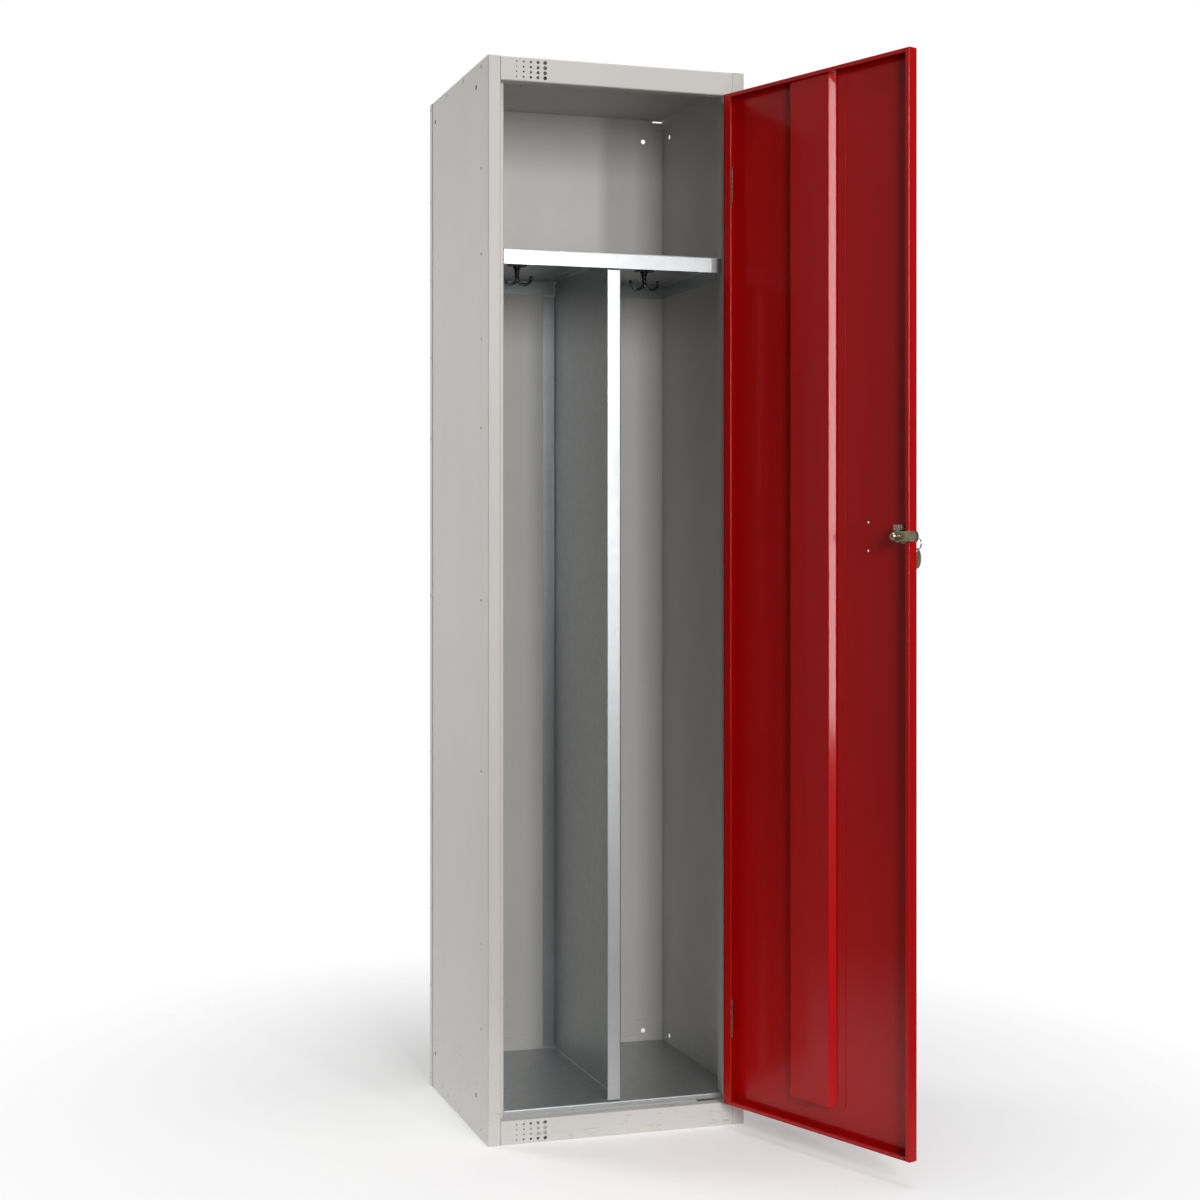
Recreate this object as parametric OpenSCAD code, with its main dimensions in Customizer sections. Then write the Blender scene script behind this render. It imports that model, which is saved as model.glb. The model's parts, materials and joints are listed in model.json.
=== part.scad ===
// Single-door steel locker with a hat shelf over two hanging compartments.
// The origin is the centre of the footprint on the floor, +Z is up and the
// door is on the -Y side, hinged on the right. All lengths are millimetres.

/* [Carcass] */
// overall height
body_h = 1800; // [1700:10:1900]
// overall width
body_w = 456; // [430:1:500]
// overall depth
body_d = 390; // [360:5:450]
// steel sheet thickness
sheet = 1; // [0.8:0.1:1.2]
// inside radius of every fold
fold_r = 1.5; // [0.8:0.1:1.8]
// width of the front face of each stile
stile_w = 22; // [20:1:26]
// how far each door stop lip reaches into the opening
stop_lip = 11; // [8:1:14]
// depth of the rebate that the door closes into
rebate = 20; // [20:0.5:24]
// height of the roof rail and of the plinth rail
rail_h = 40; // [36:1:46]

/* [Inside] */
// height of the galvanised floor above the ground
floor_top = 51; // [48:1:60]
// height of the hat shelf's top face
shelf_top = 1486; // [1400:2:1520]
// depth of the shelf's turned-down edges
shelf_edge = 26; // [20:1:30]
// width of the divider's folded edges
fold_w = 24; // [18:1:28]
// spread of a coat hook from prong tip to prong tip
hook_spread = 52; // [48:2:64]

/* [Door] */
// how far the door stands open
door_open = 111.5; // [0:0.5:165]
// depth of the door's folded edges
door_t = 19.5; // [18:0.5:19.5]
// running gap round the door
door_gap = 2; // [1.5:0.1:3]
// width of the flat top of the door stiffener
stiff_w = 84; // [60:2:100]
// distance between the two card-holder holes
card_pitch = 45; // [38:1:60]

/* [Lock] */
// height of the lock above the ground
lock_z = 1005; // [900:5:1100]
// distance from the door's hinge edge to the lock
lock_u = 386; // [360:1:386]
// length of the cam from the lock's axis to its tip
cam_reach = 42; // [36:1:42]
// radial clearance of the plug in its housing
plug_fit = 0.06; // [0.02:0.01:0.1]

/* [Ventilation] */
// columns of holes in each rail
vent_cols = 5; // [3:1:6]
// rows of holes in each rail
vent_rows = 4; // [2:1:4]
// diameter of the smallest holes
vent_small = 2.4; // [2:0.1:3]
// diameter of the largest holes
vent_large = 6.4; // [4:0.1:7]

/* [Hidden] */
$fn = 32;
hw = body_w / 2;
hd = body_d / 2;
fy = -hd;                         // front plane
open_w = hw - stile_w;            // half of the door opening
stop_x = open_w - stop_lip;       // half of the opening between the stop lips
stop_y = fy + rebate;             // front of the stop lips
box_y = stop_y + 20;              // back of the stile's box section
in_x = hw - sheet;                // inner face of a side
in_y = hd - sheet;                // inner face of the back
mid = sheet / 2;                  // face to middle of the sheet
fold_n = 6;                       // facets round each fold
bend_r = fold_r + sheet;          // outside radius of a fold
shelf_y = stop_y + sheet;         // front of the shelf, floor and divider
rail_lip = 14;                    // depth of the lip behind each rail
roof_fold = 17;                   // depth of the roof's folded edges
tray_top = rail_h - 2;            // top of the base tray's walls
back_fold = 18;                   // width of the back's folded edges
base_fold = 25;                   // width of the base tray's foot flange
floor_edge = 9;                   // depth of the floor's front edge
slit = [19, 3];                   // relief slits at the top of the back
slit_x = hw - 12;                 // their centres
slit_z = body_h - 3.5;
divider_x = fold_w / 2;           // face of the divider sheet
hook_x = [-120, 118];             // coat hook positions across the locker
hook_r = hook_spread / 4;         // radius of a hook's prong
hook_rod = 2.6;                   // prong thickness, as a radius
hook_drop = 22;                   // shelf to the centres of the prongs
hook_plate = [34, 18, 3];         // plate that each hook is fixed by
hook_screw_x = 12.5;              // hook screws, to each side of the hook
hook_head = 1.6;                  // height of a hook screw's head
vent_pitch_x = 12.4;              // hole spacing across a rail
vent_pitch_z = 8.4;               // hole spacing up a rail
vent_x = -179;                    // first column of holes
nest_y = 18;                      // centre of the nesting hole pattern
nest_dy = 139;                    // half its depth
nest_dz = 848;                    // half its height
nest_z = 914;                     // its centre height
wall_dx = 188;                    // half the width of the wall hole pattern
wall_dz = 844;                    // half its height
fix_d = 8.6;                      // diameter of nesting and wall holes
rivet_d = 5.4;                    // rivet head diameter
rivet_h = 1.1;                    // rivet head height
rivet_zs = [16, 185, 327, 614, 900, 1187, 1336, 1477, 1620, 1790];
rivet_front_y = fy + 43;          // front column of rivets on each side
rivet_rear_y = hd - 8;            // rear column of rivets on each side
rivet_top_ys = [-37, 78];         // rivets along the top of each side

pin_r = 2;                        // hinge pin radius
pin_fit = 0.05;                   // radial clearance of the moving knuckle
knuckle_r = 3.5;                  // hinge knuckle outside radius
axis_x = open_w - 1.5;            // hinge axis
axis_y = fy - 4;
hinge_zs = [190, 1601];           // hinge centres
hinge_l = 63;                     // hinge length
leaf_t = 1.2;                     // hinge leaf thickness
knuckle_l = 21;                   // length of the middle knuckle
knuckle_gap = 0.4;                // gap between knuckles

door_x1 = open_w - 3;             // hinge edge of the closed door
door_x0 = -open_w + 1.5;          // free edge of the closed door
door_z0 = rail_h + door_gap;
door_z1 = body_h - rail_h - door_gap;
door_y1 = fy + door_t;            // back of the door's lips
hinge_lip = 18;                   // lip along the hinge edge
edge_lip = 7;                     // lip along the other three edges
stiff_u = 151;                    // hinge edge of the door to the stiffener
stiff_h = 12.5;                   // height of the stiffener over the door skin
stiff_slope = 6.5;                // how far each web leans out
stiff_foot = 20;                  // width of each welded foot
stiff_z0 = 88;                    // bottom of the stiffener
stiff_z1 = door_z1 - bend_r - 0.5; // top of the stiffener
lip_hole_d = 3;                   // drain holes in the corners of the lips
card_u = 308.6;                   // hinge edge of the door to the card holes
card_d = 3.2;                     // diameter of a card hole

lock_x = door_x1 - lock_u;
barrel_r = 9.5;                   // lock housing radius
plug_r = 6;                       // plug radius
barrel_end = stop_y + 1;          // back of the lock housing
cam_y = fy + 22.3;                // front of the cam
cam_t = 2.8;                      // cam thickness
cam_w = 16;                       // cam width
nut_r = 12.7;                     // lock nut, across its corners, as a radius
nut_t = 4;                        // lock nut thickness
case_w = 18;                      // width of the lock's case
collar_r = 7.2;                   // cam collar radius
collar_t = 3.6;                   // cam collar thickness
key_y = fy - 24;                  // plane of the key ring
ring_r = 9.5;                     // key ring radius
wire_r = 0.7;                     // key ring wire radius
ring_z = lock_z - 11;             // centre of the key ring
blade_t = 2;                      // key blade thickness
blade_h = 7.6;                    // key blade height
key_clear = 0.3;                  // clearance round the key blade

GREY = [0.78, 0.77, 0.75];
ZINC = [0.80, 0.83, 0.84];
RED = [0.55, 0.02, 0.02];
STEEL = [0.55, 0.55, 0.55];
BLACK = [0.08, 0.08, 0.08];
BRASS = [0.75, 0.68, 0.42];

// box between two corners
module slab(lo, hi) {
  translate(lo) cube(hi - lo);
}

// sheets folded in one direction are drawn as outlines and drawn out
module along_x(x0, x1) {
  translate([x0, 0, 0]) rotate([90, 0, 90]) linear_extrude(x1 - x0) children();
}

module along_y(y0, y1) {
  translate([0, y1, 0]) rotate([90, 0, 0]) linear_extrude(y1 - y0) children();
}

module along_z(z0, z1) {
  translate([0, 0, z0]) linear_extrude(z1 - z0) children();
}

function heading(a, b) = (b - a) / norm(b - a);
function to_left(v) = [-v.y, v.x];
function spin(v, a) = [v.x * cos(a) - v.y * sin(a), v.x * sin(a) + v.y * cos(a)];

// points round the fold at b, on the left (side 1) or the right (side -1)
function fold_points(a, b, c, side) =
  let (d0 = heading(a, b), d1 = heading(b, c), turn = sign(cross(d0, d1)),
       ang = acos(d0 * d1), r = fold_r + mid, out = -turn * to_left(d0),
       centre = b - d0 * r * tan(ang / 2) - out * r)
  [for (i = [0 : fold_n])
    let (k = side > 0 ? i : fold_n - i)
    centre + (r - turn * side * mid) * spin(out, turn * ang * k / fold_n)];

// outline of a sheet whose middle follows the points p, with round folds
function folded(p) =
  let (n = len(p) - 1,
       start = mid * to_left(heading(p[0], p[1])),
       end = mid * to_left(heading(p[n - 1], p[n])))
  [p[0] + start,
   for (i = [1 : n - 1]) each fold_points(p[i - 1], p[i], p[i + 1], 1),
   p[n] + end, p[n] - end,
   for (i = [n - 1 : -1 : 1]) each fold_points(p[i - 1], p[i], p[i + 1], -1),
   p[0] - start];

// rectangle from a to b with its upper corners, or all four, rounded
function corner(c, r, from) =
  [for (i = [0 : fold_n]) c + r * spin([1, 0], from + 90 * i / fold_n)];
function arch(a, b, r) =
  [a, [b.x, a.y], each corner(b - [r, r], r, 0), each corner([a.x + r, b.y - r], r, 90)];
function rounded(a, b, r) =
  [each corner(b - [r, r], r, 0), each corner([a.x + r, b.y - r], r, 90),
   each corner(a + [r, r], r, 180), each corner([b.x - r, a.y + r], r, 270)];

// block between two corners with its four top edges rounded
module soft_block(lo, hi, r) {
  intersection() {
    along_x(lo.x, hi.x) polygon(arch([lo.y, lo.z], [hi.y, hi.z], r));
    along_y(lo.y, hi.y) polygon(arch([lo.x, lo.z], [hi.x, hi.z], r));
  }
}

// sheet with its four edges turned down
module tray(lo, hi) {
  difference() {
    soft_block(lo, hi, bend_r);
    soft_block(lo + [sheet, sheet, -1], hi - [sheet, sheet, sheet], fold_r);
  }
}

// everything on the door is drawn closed and swung open about the hinge
module swing() {
  translate([axis_x, axis_y, 0]) rotate([0, 0, door_open])
    translate([-axis_x, -axis_y, 0]) children();
}

// round bar or hole along Y
module rod_y(x, z, y0, y1, r) {
  translate([x, y0, z]) rotate([-90, 0, 0]) cylinder(r = r, h = y1 - y0);
}

// domed rivet head standing on a face, pointing along dir
module rivet(pos, dir) {
  translate(pos)
    rotate(dir.z != 0 ? [dir.z > 0 ? 0 : 180, 0, 0]
         : dir.y != 0 ? [dir.y > 0 ? -90 : 90, 0, 0]
         : [0, dir.x > 0 ? 90 : -90, 0])
      cylinder(d1 = rivet_d, d2 = 0.55 * rivet_d, h = rivet_h, $fn = 20);
}

// ventilation holes, growing from left to right
module vent_holes(z_mid) {
  for (c = [0 : vent_cols - 1], r = [0 : vent_rows - 1])
    rod_y(vent_x + c * vent_pitch_x,
          z_mid + (r - (vent_rows - 1) / 2) * vent_pitch_z,
          fy - 1, fy + sheet + 1,
          (vent_small + (vent_large - vent_small) * c / (vent_cols - 1)) / 2);
}

// right side: outer sheet folded round the front into a closed stile
module side_shape() {
  difference() {
    union() {
      along_z(0, body_h) polygon(folded([
        [hw - mid, in_y - bend_r], [hw - mid, fy + mid], [open_w + mid, fy + mid],
        [open_w + mid, stop_y + mid], [stop_x + mid, stop_y + mid],
        [stop_x + mid, box_y - mid], [in_x - 2, box_y - mid]]));
      slab([in_x - 3, box_y - sheet, 0], [in_x + mid, box_y, body_h]);
    }
    for (y = [nest_y - nest_dy, nest_y + nest_dy], z = [nest_z - nest_dz, nest_z + nest_dz])
      translate([in_x - 5, y, z]) rotate([0, 90, 0]) cylinder(d = fix_d, h = sheet + 10);
    slab([stop_x - 1, stop_y - 1, body_h - rail_h + 0.5],
         [in_x, box_y + 1, body_h + 1]);
    slab([stop_x - 1, stop_y - 1, -1], [in_x, box_y + 1, rail_h - 0.5]);
    slab([open_w - 1, fy + sheet, body_h - sheet], [in_x, box_y, body_h + 1]);
    slab([open_w - 1, fy + sheet, -1], [in_x, box_y, sheet]);
  }
}

module right_side_panel() {
  color(GREY) side_shape();
}

// the left side has a slot in its stile that the cam turns into
module left_side_panel() {
  color(GREY) difference() {
    mirror([1, 0, 0]) side_shape();
    slab([-stop_x - sheet - 1, stop_y + sheet, lock_z - cam_reach - 2],
         [-stop_x + 1, stop_y + 9, lock_z + cam_w / 2 + 3]);
  }
}

// back sheet with edges folded forwards outside the sides
module back_panel() {
  x = hw + mid;
  color(GREY) difference() {
    along_z(0, body_h) polygon(folded([
      [-x, hd - back_fold], [-x, hd - mid], [x, hd - mid], [x, hd - back_fold]]));
    for (x = [-wall_dx, wall_dx], z = [nest_z - wall_dz, nest_z + wall_dz])
      rod_y(x, z, in_y - 1, hd + 1, fix_d / 2);
    relief_slits();
  }
}

// pair of slits through the back and the roof's rear fold
module relief_slits() {
  for (s = [-1, 1]) translate([s * slit_x, hd, slit_z])
    cube([slit.x, 10, slit.y], center = true);
}

// roof sheet with the front rail and edges folded down inside
module roof_panel() {
  top = body_h - mid;
  foot = body_h - rail_h + mid;
  color(GREY) difference() {
    union() {
      along_x(-open_w, open_w) polygon(folded([
        [stop_y - mid, foot + rail_lip], [stop_y - mid, foot], [fy + mid, foot],
        [fy + mid, top], [box_y + roof_fold, top]]));
      slab([-in_x, fy + bend_r, body_h - sheet], [in_x, box_y + roof_fold, body_h]);
      difference() {
        tray([-in_x, box_y, body_h - roof_fold], [in_x, in_y, body_h]);
        slab([-in_x + sheet, box_y - 1, 0], [in_x - sheet, box_y + bend_r, body_h - sheet]);
      }
    }
    vent_holes(body_h - rail_h / 2);
    relief_slits();
  }
}

// base tray with the plinth rail, folded in all round where it meets the floor
module base_tray() {
  color(GREY) difference() {
    union() {
      along_x(-open_w, open_w) polygon(folded([
        [stop_y - mid, rail_h - rail_lip], [stop_y - mid, rail_h - mid],
        [fy + mid, rail_h - mid], [fy + mid, mid], [fy + base_fold, mid]]));
      slab([-in_x, fy + bend_r, 0], [in_x, box_y + bend_r + 1, sheet]);
      difference() {
        translate([0, 0, tray_top]) mirror([0, 0, 1])
          tray([-in_x, box_y, 0], [in_x, in_y, tray_top]);
        slab([-in_x + sheet, box_y - 1, sheet], [in_x - sheet, box_y + bend_r, rail_h]);
      }
    }
    vent_holes(rail_h / 2);
    slab([-in_x + base_fold, fy + base_fold, -1],
         [in_x - base_fold, in_y - base_fold, sheet + 1]);
  }
}

// notch round both stiles, cut from sheets that run the full width
module stile_notches(z0, z1) {
  for (s = [-1, 1])
    slab([s > 0 ? stop_x - 0.3 : -in_x - 1, shelf_y - 1, z0],
         [s > 0 ? in_x + 1 : -stop_x + 0.3, box_y + 0.3, z1]);
}

module floor_panel() {
  color(ZINC) difference() {
    tray([-in_x, shelf_y, tray_top], [in_x, in_y, floor_top]);
    stile_notches(0, floor_top + 1);
    slab([-in_x - 1, shelf_y - 1, 0], [in_x + 1, shelf_y + sheet + 1, floor_top - floor_edge]);
    for (x = [-133, -105, 105, 133])
      translate([x, 8, floor_top - 3]) cylinder(d = 4, h = 4);
  }
}

module hat_shelf() {
  color(ZINC) difference() {
    tray([-in_x, shelf_y, shelf_top - shelf_edge], [in_x, in_y, shelf_top]);
    stile_notches(shelf_top - shelf_edge - 1, shelf_top + 1);
    for (y = [-100, 68])
      translate([-in_x - 1, y, shelf_top - 11]) rotate([0, 90, 0])
        cylinder(d = 4, h = 2 * in_x + 2);
  }
}

// divider: one sheet with all four edges folded to the left
module centre_divider() {
  x = divider_x - mid;
  z0 = floor_top + mid;
  z1 = shelf_top - sheet - mid;
  z_edge = shelf_top - shelf_edge - 3;
  color(ZINC) {
    along_z(z0 + bend_r, z_edge) polygon(folded([
      [-divider_x, shelf_y + mid], [x, shelf_y + mid], [x, in_y - mid],
      [-divider_x, in_y - mid]]));
    along_y(shelf_y + 10, in_y - 10) polygon(folded([
      [-divider_x, z0], [x, z0], [x, z1], [-divider_x, z1]]));
    slab([x - mid, shelf_y + 4, z_edge - 1], [x + mid, in_y - 4, z1 - bend_r]);
  }
}

// double-prong hook hanging from the underside of the shelf
module coat_hook(x) {
  top = shelf_top - sheet;
  low = top - hook_drop;          // height of the prongs' centres
  stem_r = 1.6 * hook_rod;
  flare_h = hook_drop / 2;
  translate([x, 0, 0]) {
    slab([-hook_plate.x / 2, -hook_plate.y / 2, top - hook_plate.z],
         [hook_plate.x / 2, hook_plate.y / 2, top]);
    translate([0, 0, low - hook_rod]) cylinder(r = stem_r, h = hook_drop);
    translate([0, 0, top - hook_plate.z - flare_h])
      cylinder(r1 = stem_r, r2 = 2 * stem_r, h = flare_h);
    for (s = [-1, 1]) {
      translate([s * hook_r, 0, low]) rotate([90, 0, 0]) rotate([0, 0, 180])
        rotate_extrude(angle = 180) translate([hook_r, 0]) circle(r = hook_rod, $fn = 20);
      translate([s * 2 * hook_r, 0, low + 1]) sphere(r = hook_rod + 0.5, $fn = 20);
    }
  }
}

module coat_hook_left() {
  color(BLACK) coat_hook(hook_x[0]);
}

module coat_hook_right() {
  color(BLACK) coat_hook(hook_x[1]);
}

module hook_screws() {
  color(STEEL) for (x = hook_x, s = [-1, 1])
    translate([x + s * hook_screw_x, 0, shelf_top - sheet - hook_plate.z - hook_head])
      cylinder(d1 = 3, d2 = 6, h = hook_head);
}

// rivets of one side: outside heads and inside tails
module side_rivets(s) {
  for (z = rivet_zs) {
    rivet([s * hw, rivet_front_y, z], [s, 0, 0]);
    rivet([s * (hw + sheet), rivet_rear_y, z], [s, 0, 0]);
    if (z > floor_top && z < body_h - 20 && abs(z - shelf_top + 12) > 16)
      rivet([s * in_x, rivet_rear_y - 2, z], [-s, 0, 0]);
  }
  for (y = rivet_top_ys) rivet([s * hw, y, body_h - 8], [s, 0, 0]);
}

module left_side_rivets() {
  color(GREY) side_rivets(-1);
}

module right_side_rivets() {
  color(GREY) side_rivets(1);
}

module back_rivets() {
  color(GREY) for (x = [-127, 0, 127], z = [9, body_h - 9]) {
    rivet([x, hd, z], [0, 1, 0]);
    if (z > rail_h) rivet([x, in_y - sheet, z], [0, -1, 0]);
  }
}

module roof_rivets() {
  color(GREY) for (p = [[-10, 100], [114, -7], [-114, -7]]) {
    rivet([p.x, p.y, body_h], [0, 0, 1]);
    rivet([p.x, p.y, body_h - sheet], [0, 0, -1]);
  }
}

module shelf_rivets() {
  color(ZINC) for (s = [-1, 1], y = [-140, 150])
    rivet([s * (in_x - sheet), y, shelf_top - 13], [-s, 0, 0]);
}

module divider_fixings() {
  color(STEEL) for (y = [-140, 160]) {
    rivet([0, y, floor_top + sheet], [0, 0, 1]);
    rivet([0, y, shelf_top - 2 * sheet], [0, 0, -1]);
  }
}

// fixed half of a hinge: a leaf on the stile with two end knuckles
module frame_leaf(zc) {
  end_l = (hinge_l - knuckle_l - knuckle_gap) / 2;
  color(STEEL) difference() {
    union() {
      slab([open_w - leaf_t, axis_y + 4 + 0.2, zc - hinge_l / 2],
           [open_w, fy + 17, zc + hinge_l / 2]);
      for (z = [zc - hinge_l / 2, zc + hinge_l / 2 - end_l]) {
        translate([axis_x, axis_y, z]) cylinder(r = knuckle_r, h = end_l);
        slab([open_w - leaf_t, axis_y, z], [open_w, fy + 1, z + end_l]);
      }
    }
    translate([axis_x, axis_y, zc - hinge_l]) cylinder(r = pin_r, h = 2 * hinge_l);
  }
}

// moving half of a hinge: a leaf on the door's edge with the middle knuckle
module door_leaf(zc) {
  mid_l = knuckle_l - knuckle_gap;
  color(STEEL) swing() difference() {
    union() {
      slab([door_x1, fy + 0.4, zc - hinge_l / 2], [door_x1 + leaf_t, fy + 17, zc + hinge_l / 2]);
      translate([axis_x, axis_y, zc - mid_l / 2]) cylinder(r = knuckle_r, h = mid_l);
      slab([door_x1, axis_y, zc - mid_l / 2], [door_x1 + leaf_t, fy + 1, zc + mid_l / 2]);
    }
    translate([axis_x, axis_y, zc - hinge_l]) cylinder(r = pin_r + pin_fit, h = 2 * hinge_l);
  }
}

module hinge_pin(zc) {
  color(STEEL) translate([axis_x, axis_y, 0]) {
    translate([0, 0, zc - hinge_l / 2]) cylinder(r = pin_r, h = hinge_l);
    for (z = [zc - hinge_l / 2 - 1.5, zc + hinge_l / 2])
      translate([0, 0, z]) cylinder(r = pin_r + 1, h = 1.5);
  }
}

// plate behind the door's hinge lip that the leaf is fixed through
module hinge_backing(zc) {
  color(STEEL) swing()
    slab([door_x1 - 21, door_y1 - sheet - leaf_t, zc - hinge_l / 2],
         [door_x1 - bend_r, door_y1 - sheet, zc + hinge_l / 2]);
}

module upper_frame_leaf() { frame_leaf(hinge_zs[1]); }
module lower_frame_leaf() { frame_leaf(hinge_zs[0]); }
module upper_hinge_pin() { hinge_pin(hinge_zs[1]); }
module lower_hinge_pin() { hinge_pin(hinge_zs[0]); }
module upper_door_leaf() { door_leaf(hinge_zs[1]); }
module lower_door_leaf() { door_leaf(hinge_zs[0]); }
module upper_hinge_backing() { hinge_backing(hinge_zs[1]); }
module lower_hinge_backing() { hinge_backing(hinge_zs[0]); }

// folded door pan with return lips on all four edges
module door_panel() {
  lo = [door_x0, fy, door_z0];
  hi = [door_x1, door_y1, door_z1];
  wall = [sheet, sheet, sheet];
  color(RED) swing() difference() {
    door_block(lo, hi, bend_r);
    door_block(lo + wall, hi - wall, fold_r);
    slab([door_x0 + edge_lip, door_y1 - sheet - 1, door_z0 + edge_lip],
         [door_x1 - hinge_lip, door_y1 + 1, door_z1 - edge_lip]);
    rod_y(lock_x, lock_z, fy - 1, fy + sheet + 1, barrel_r);
    for (s = [-1, 1])
      rod_y(door_x1 - card_u, lock_z + s * card_pitch / 2, fy - 1, fy + sheet + 1, card_d / 2);
    for (x = [door_x1 - 5, door_x0 + 9.5], z = [door_z0 + 4, door_z1 - 4])
      rod_y(x, z, door_y1 - sheet - 1, door_y1 + 1, lip_hole_d / 2);
  }
}

// block whose front and back edges are all round
module door_block(lo, hi, r) {
  intersection() {
    along_x(lo.x, hi.x) polygon(rounded([lo.y, lo.z], [hi.y, hi.z], r));
    along_z(lo.z, hi.z) polygon(rounded([lo.x, lo.y], [hi.x, hi.y], r));
  }
}

// hat-section stiffener welded down the inside of the door
module door_stiffener() {
  x1 = door_x1 - stiff_u;
  x0 = x1 - stiff_w;
  y0 = fy + sheet + mid;
  y1 = fy + sheet + stiff_h - mid;
  out = stiff_slope + stiff_foot;
  color(RED) swing() along_z(stiff_z0, stiff_z1) polygon(folded([
    [x0 - out, y0], [x0 - stiff_slope, y0], [x0, y1],
    [x1, y1], [x1 + stiff_slope, y0], [x1 + out, y0]]));
}

module lock_housing() {
  color(STEEL) swing() difference() {
    union() {
      rod_y(lock_x, lock_z, fy - 2.2, fy, 12);
      rod_y(lock_x, lock_z, fy, barrel_end, barrel_r);
    }
    rod_y(lock_x, lock_z, fy - 4, barrel_end + 1, plug_r + plug_fit);
  }
}

module lock_nut() {
  color(BRASS) swing() difference() {
    translate([lock_x, fy + sheet, lock_z]) rotate([-90, 0, 0]) cylinder(r = nut_r, h = nut_t, $fn = 6);
    rod_y(lock_x, lock_z, fy, fy + sheet + nut_t + 1, barrel_r);
  }
}

// small case over the nut that keeps the housing from turning
module lock_case() {
  color(BRASS) swing()
    slab([lock_x - case_w + 8, fy + sheet + nut_t, lock_z + barrel_r + 0.1],
         [lock_x + 8, fy + 22, lock_z + barrel_r + 8.5]);
}

module lock_case_screw() {
  color(STEEL) swing() rod_y(lock_x - case_w + 12, lock_z + barrel_r + 4.4, fy + 22, fy + 23.6, 2.8);
}

// turning plug with its keyway and the tail that carries the cam
module lock_plug() {
  color(STEEL) swing() difference() {
    union() {
      rod_y(lock_x, lock_z, fy - 2.6, cam_y, plug_r);
      rod_y(lock_x, lock_z, cam_y, cam_y + cam_t, plug_r - 2);
    }
    slab([lock_x - blade_t / 2 - key_clear, fy - 4, lock_z - blade_h / 2 - key_clear],
         [lock_x + blade_t / 2 + key_clear, fy + 17, lock_z + blade_h / 2 + key_clear]);
  }
}

module lock_cam() {
  r = cam_w / 2;
  color(BRASS) swing() difference() {
    union() {
      rod_y(lock_x, lock_z, cam_y, cam_y + cam_t, r);
      rod_y(lock_x - cam_reach + r, lock_z, cam_y, cam_y + cam_t, r);
      slab([lock_x - cam_reach + r, cam_y, lock_z - r], [lock_x, cam_y + cam_t, lock_z + r]);
    }
    rod_y(lock_x, lock_z, cam_y - 1, cam_y + cam_t + 1, plug_r - 2);
  }
}

module cam_collar() {
  y0 = cam_y + cam_t;
  color(BRASS) swing() rod_y(lock_x, lock_z, y0, y0 + collar_t, collar_r);
}

// domed nut that holds the cam
module cam_nut() {
  y0 = cam_y + cam_t + collar_t;
  color(BRASS) swing() {
    translate([lock_x, y0, lock_z]) rotate([-90, 0, 0]) cylinder(r = 7, h = 3.4, $fn = 6);
    intersection() {
      translate([lock_x, y0 + 2, lock_z]) sphere(r = 6.4);
      rod_y(lock_x, lock_z, y0 + 3.4, y0 + 12, 8);
    }
  }
}

// key in the plug, with a round bow and a hole for the ring
module key() {
  bow_y = fy - 18;
  color(STEEL) swing() difference() {
    union() {
      slab([lock_x - blade_t / 2, bow_y, lock_z - blade_h / 2],
           [lock_x + blade_t / 2, fy + 16, lock_z + blade_h / 2]);
      translate([lock_x - blade_t / 2, bow_y, lock_z]) rotate([0, 90, 0])
        cylinder(r = 10, h = blade_t);
    }
    translate([lock_x - blade_t, key_y, ring_z + ring_r]) rotate([0, 90, 0])
      cylinder(r = 2.8, h = 2 * blade_t);
  }
}

module key_ring() {
  color(STEEL) swing() translate([lock_x, key_y, ring_z]) rotate([90, 0, 0])
    rotate_extrude() translate([ring_r, 0]) circle(r = wire_r, $fn = 16);
}

// blank oval tag hanging on the ring, square to it
module key_tag() {
  eye_r = 2.2;                    // hole in the tag
  eye_z = ring_z - ring_r - eye_r + wire_r;
  tag_r = 16;                     // half of the tag's height
  color(BRASS) swing() translate([lock_x, key_y, eye_z]) rotate([0, 90, 0]) difference() {
    translate([tag_r - eye_r - 1.6, 0, -1]) scale([1, 0.62, 1]) cylinder(r = tag_r, h = 2);
    translate([0, 0, -2]) cylinder(r = eye_r, h = 4);
  }
}

left_side_panel();
right_side_panel();
back_panel();
roof_panel();
base_tray();
floor_panel();
hat_shelf();
centre_divider();
coat_hook_left();
coat_hook_right();
hook_screws();
left_side_rivets();
right_side_rivets();
back_rivets();
roof_rivets();
shelf_rivets();
divider_fixings();
upper_frame_leaf();
lower_frame_leaf();
upper_hinge_pin();
lower_hinge_pin();
upper_door_leaf();
lower_door_leaf();
upper_hinge_backing();
lower_hinge_backing();
door_panel();
door_stiffener();
lock_housing();
lock_nut();
lock_case();
lock_case_screw();
lock_plug();
lock_cam();
cam_collar();
cam_nut();
key();
key_ring();
key_tag();
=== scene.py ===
"""Looks for a steel locker with one door, a hat shelf and two hanging spaces.

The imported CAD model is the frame. Its parts keep their shape and get a finish, and all but
the folded sheets get rounded edges. Rivets, hook screws, coat hooks, the key, its ring and
its tag are remade in detail. Lengths are metres and angles radians, unless a comment says
otherwise.
"""

import json
import math

import bmesh
import bpy
from mathutils import Matrix, Vector


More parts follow.
